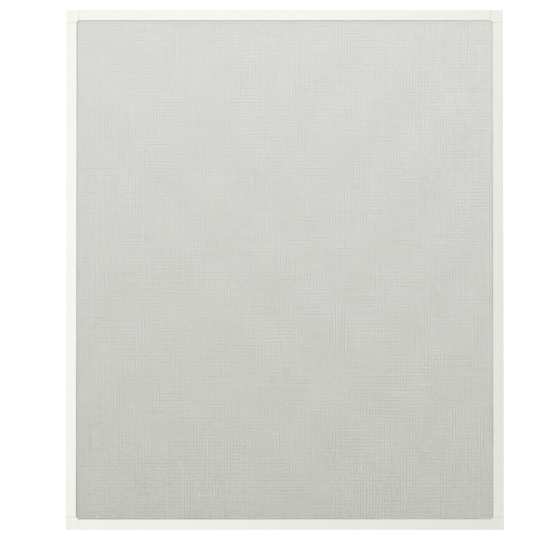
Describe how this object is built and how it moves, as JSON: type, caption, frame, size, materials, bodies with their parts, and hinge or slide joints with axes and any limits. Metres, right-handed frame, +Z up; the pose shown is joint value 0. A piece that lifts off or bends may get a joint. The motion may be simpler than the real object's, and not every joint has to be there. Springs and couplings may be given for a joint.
{
  "type": "window insect screen",
  "caption": "Upright rectangular window insect screen: white framed profile with square corner pieces, fine grey net in a groove, brush seals and hanging hooks on the back.",
  "frame": {"origin": "middle of the screen on the back plane of its frame, where it seats on a window", "axes": "+X to the right as seen from the front, +Y out of the back, towards the window, +Z up along the screen's height; the front faces -Y"},
  "size_m": [1, 0.025, 1.188],
  "materials": {
    "frame_powder_coat": "extruded aluminium with a white powder coat of fine, soft orange peel",
    "corner_plastic": "injection moulded plastic in a slightly warmer white, satin",
    "net_yarn": "woven glass fibre yarn in an anthracite vinyl coat",
    "cord_rubber": "black extruded rubber cord with fine lengthwise notches",
    "brush_pile": "grey polypropylene pile on a stiff woven backing",
    "hook_steel": "bent stainless strip, lightly brushed",
    "screw_steel": "bright zinc plated steel"
  },
  "bodies": {
    "root": {"bottom_rail": "frame_powder_coat", "top_rail": "frame_powder_coat", "left_stile": "frame_powder_coat", "right_stile": "frame_powder_coat", "insect_net": "net_yarn", "bottom_cord": "cord_rubber", "bottom_brush_seal": "brush_pile", "top_cord": "cord_rubber", "top_brush_seal": "brush_pile", "left_cord": "cord_rubber", "left_brush_seal": "brush_pile", "right_cord": "cord_rubber", "right_brush_seal": "brush_pile", "bottom_left_corner": "corner_plastic", "bottom_left_hook": "hook_steel", "bottom_left_hook_screws": "screw_steel", "bottom_right_corner": "corner_plastic", "bottom_right_hook": "hook_steel", "bottom_right_hook_screws": "screw_steel", "top_left_corner": "corner_plastic", "top_left_hook": "hook_steel", "top_left_hook_screws": "screw_steel", "top_right_corner": "corner_plastic", "top_right_hook": "hook_steel", "top_right_hook_screws": "screw_steel"}
  },
  "joints": []
}
